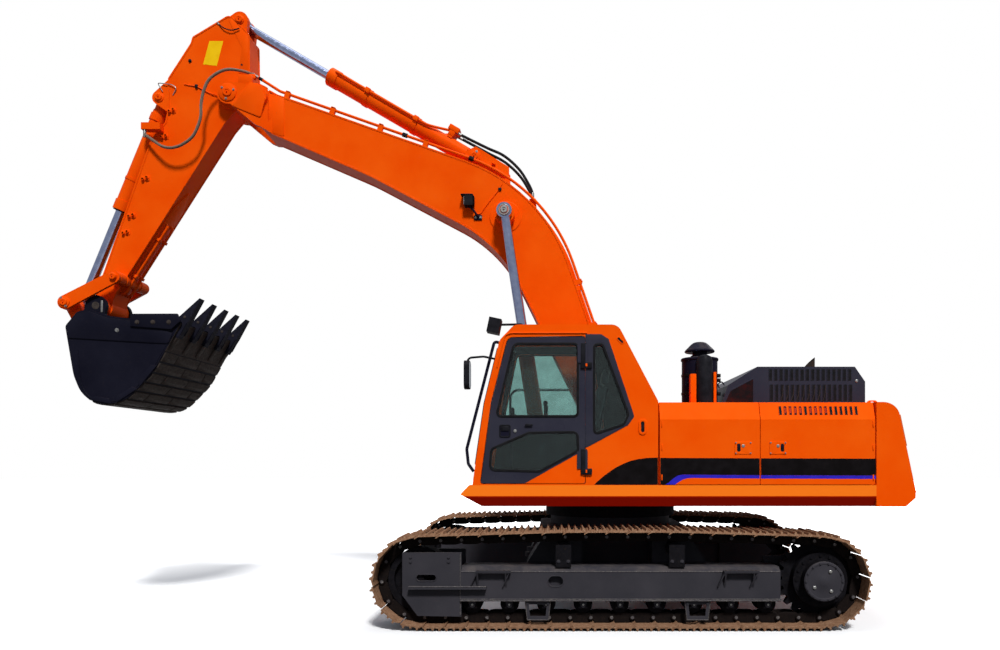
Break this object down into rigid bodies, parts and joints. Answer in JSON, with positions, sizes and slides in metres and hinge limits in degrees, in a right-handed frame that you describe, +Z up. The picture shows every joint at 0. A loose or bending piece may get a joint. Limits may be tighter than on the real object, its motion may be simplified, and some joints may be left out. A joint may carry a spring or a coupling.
{
  "type": "crawler excavator",
  "caption": "Tracked excavator with a slewing upper structure, cab, boom, arm and bucket, each moving at its real joint.",
  "frame": {"origin": "on the ground, midway between the two tracks and midway along the whole machine from bucket to tail; the slew axis is 1.5825 m behind it, at x = +1.5825", "axes": "-X forwards, -Y to the machine's left where the cab is, +Z up"},
  "size_m": [9.9698, 3.33, 7.1599],
  "materials": {
    "chassis_paint": "satin grey paint",
    "running_gear": "dull grey casting",
    "track_steel": "rusted steel",
    "body_paint": "glossy orange enamel",
    "window_glass": "green tinted glass",
    "upholstery": "woven cloth",
    "black_plastic": "moulded plastic",
    "door_paint": "dark grey enamel",
    "hood_paint": "dark grey enamel",
    "black_steel": "black heat-proof paint",
    "hose_rubber": "hydraulic hose cover",
    "engine_iron": "painted casting",
    "rod_chrome": "hard chrome",
    "bucket_steel": "dark blue-black paint, worn"
  },
  "bodies": {
    "undercarriage": {"lower_frame": "chassis_paint", "track_frames": "chassis_paint", "track_left": "track_steel", "track_right": "track_steel", "idlers": "running_gear", "sprockets": "running_gear", "track_rollers": "running_gear", "carrier_rollers": "running_gear"},
    "upper": {"slew_ring": "chassis_paint", "deck_frame": "body_paint", "side_skirts": "body_paint", "cab_frame": "body_paint", "cab_glass": "window_glass", "operator_seat": "upholstery", "cab_console": "black_plastic", "cab_guard_rail": "chassis_paint", "cab_mirror": "black_plastic", "cab_lamp": "black_plastic", "engine_block": "engine_iron", "house_frame": "body_paint", "counterweight": "body_paint", "fuel_tank": "body_paint", "hydraulic_tank": "body_paint", "tool_box": "body_paint", "air_cleaner": "black_steel", "deck_rails": "chassis_paint"},
    "door": {"cab_door": "door_paint", "door_glass": "window_glass"},
    "front_panel": {"left_front_door": "body_paint"},
    "rear_panel": {"left_rear_door": "body_paint"},
    "pump_panel": {"right_door": "body_paint"},
    "hood": {"engine_hood": "hood_paint", "exhaust_pipe": "black_steel"},
    "boom_body": {"boom": "body_paint", "boom_pipes": "body_paint", "boom_lamp": "black_plastic", "arm_cylinder_hoses": "hose_rubber", "arm_hoses": "hose_rubber"},
    "boom_cylinders": {"boom_barrels": "body_paint"},
    "boom_cylinder_rods": {"boom_rods": "rod_chrome"},
    "arm_body": {"arm": "body_paint", "arm_pipes": "body_paint"},
    "arm_cylinder": {"arm_barrel": "body_paint"},
    "arm_cylinder_rod": {"arm_rod": "rod_chrome"},
    "bucket_cylinder": {"bucket_barrel": "body_paint"},
    "bucket_cylinder_rod": {"bucket_rod": "rod_chrome"},
    "rocker": {"rocker_links": "body_paint"},
    "link": {"bucket_link": "body_paint"},
    "bucket_body": {"bucket": "bucket_steel", "bucket_teeth": "bucket_steel"}
  },
  "joints": [
    {"name": "swing", "type": "hinge", "parent": "undercarriage", "child": "upper", "pos_m": [1.5825, 0, 1.2], "axis": [0, 0, 1], "continuous": true},
    {"name": "cab_door_hinge", "type": "hinge", "parent": "upper", "child": "door", "pos_m": [1.2355, -1.506, 2.2], "axis": [0, 0, 1], "range_deg": [0, 160]},
    {"name": "left_front_hinge", "type": "hinge", "parent": "upper", "child": "front_panel", "pos_m": [2.016, -1.47, 1.9], "axis": [0, 0, 1], "range_deg": [-110, 0]},
    {"name": "left_rear_hinge", "type": "hinge", "parent": "upper", "child": "rear_panel", "pos_m": [4.199, -1.47, 1.9], "axis": [0, 0, 1], "range_deg": [0, 110]},
    {"name": "pump_door_hinge", "type": "hinge", "parent": "upper", "child": "pump_panel", "pos_m": [4.199, 1.47, 1.9], "axis": [0, 0, -1], "range_deg": [0, 110]},
    {"name": "hood_hinge", "type": "hinge", "parent": "upper", "child": "hood", "pos_m": [4.2505, 0, 2.358], "axis": [0, 1, 0], "range_deg": [0, 60]},
    {"name": "boom_hinge", "type": "hinge", "parent": "upper", "child": "boom_body", "pos_m": [1.5825, 0, 2.05], "axis": [0, 1, 0], "range_deg": [-85, 20]},
    {"name": "arm_hinge", "type": "hinge", "parent": "boom_body", "child": "arm_body", "pos_m": [-2.9775, 0, 6.11], "axis": [0, -1, 0], "range_deg": [-55, 58], "deforming": ["arm_hoses"]},
    {"name": "bucket_hinge", "type": "hinge", "parent": "arm_body", "child": "bucket_body", "pos_m": [-4.5535, 0, 3.581], "axis": [0, -1, 0], "range_deg": [-145, 20]},
    {"name": "boom_cylinder_hinge", "type": "hinge", "parent": "upper", "child": "boom_cylinders", "pos_m": [0.8025, 0, 1.45], "axis": [0, 1, 0], "range_deg": [-89.3, 21.01]},
    {"name": "boom_cylinder_slide", "type": "slide", "parent": "boom_cylinders", "child": "boom_cylinder_rods", "axis": [-0.1494, 0, 0.9888], "range_m": [-1.1954, 0.2813]},
    {"name": "arm_cylinder_hinge", "type": "hinge", "parent": "boom_body", "child": "arm_cylinder", "pos_m": [-0.0625, 0, 5.41], "axis": [0, -1, 0], "range_deg": [-6.73, 7.1], "deforming": ["arm_cylinder_hoses"]},
    {"name": "arm_cylinder_slide", "type": "slide", "parent": "arm_cylinder", "child": "arm_cylinder_rod", "axis": [-0.8643, 0, 0.503], "range_m": [-0.7637, 0.8054]},
    {"name": "bucket_cylinder_hinge", "type": "hinge", "parent": "arm_body", "child": "bucket_cylinder", "pos_m": [-3.8675, 0, 6.12], "axis": [0, -1, 0], "range_deg": [-1.48, 0.2]},
    {"name": "bucket_cylinder_slide", "type": "slide", "parent": "bucket_cylinder", "child": "bucket_cylinder_rod", "axis": [-0.3796, 0, -0.9251], "range_m": [-0.9551, 0.1317]},
    {"name": "rocker_hinge", "type": "hinge", "parent": "arm_body", "child": "rocker", "pos_m": [-4.3145, 0, 3.914], "axis": [0, -1, 0], "range_deg": [-94.66, 13.06]},
    {"name": "link_hinge", "type": "hinge", "parent": "bucket_body", "child": "link", "pos_m": [-4.6455, 0, 3.11], "axis": [0, -1, 0], "range_deg": [-12.24, 88.74]}
  ],
  "couplings": [
    {"joint": "boom_cylinder_hinge", "follows": "boom_hinge", "ratio": 1.03},
    {"joint": "boom_cylinder_slide", "follows": "boom_hinge", "m_per_rad": 0.79},
    {"joint": "arm_cylinder_hinge", "follows": "arm_hinge", "ratio": 0.12},
    {"joint": "arm_cylinder_slide", "follows": "arm_hinge", "m_per_rad": 0.78},
    {"joint": "bucket_cylinder_hinge", "follows": "bucket_hinge", "ratio": 0.01},
    {"joint": "bucket_cylinder_slide", "follows": "bucket_hinge", "m_per_rad": 0.37},
    {"joint": "rocker_hinge", "follows": "bucket_hinge", "ratio": 0.64},
    {"joint": "link_hinge", "follows": "bucket_hinge", "ratio": -0.6}
  ]
}
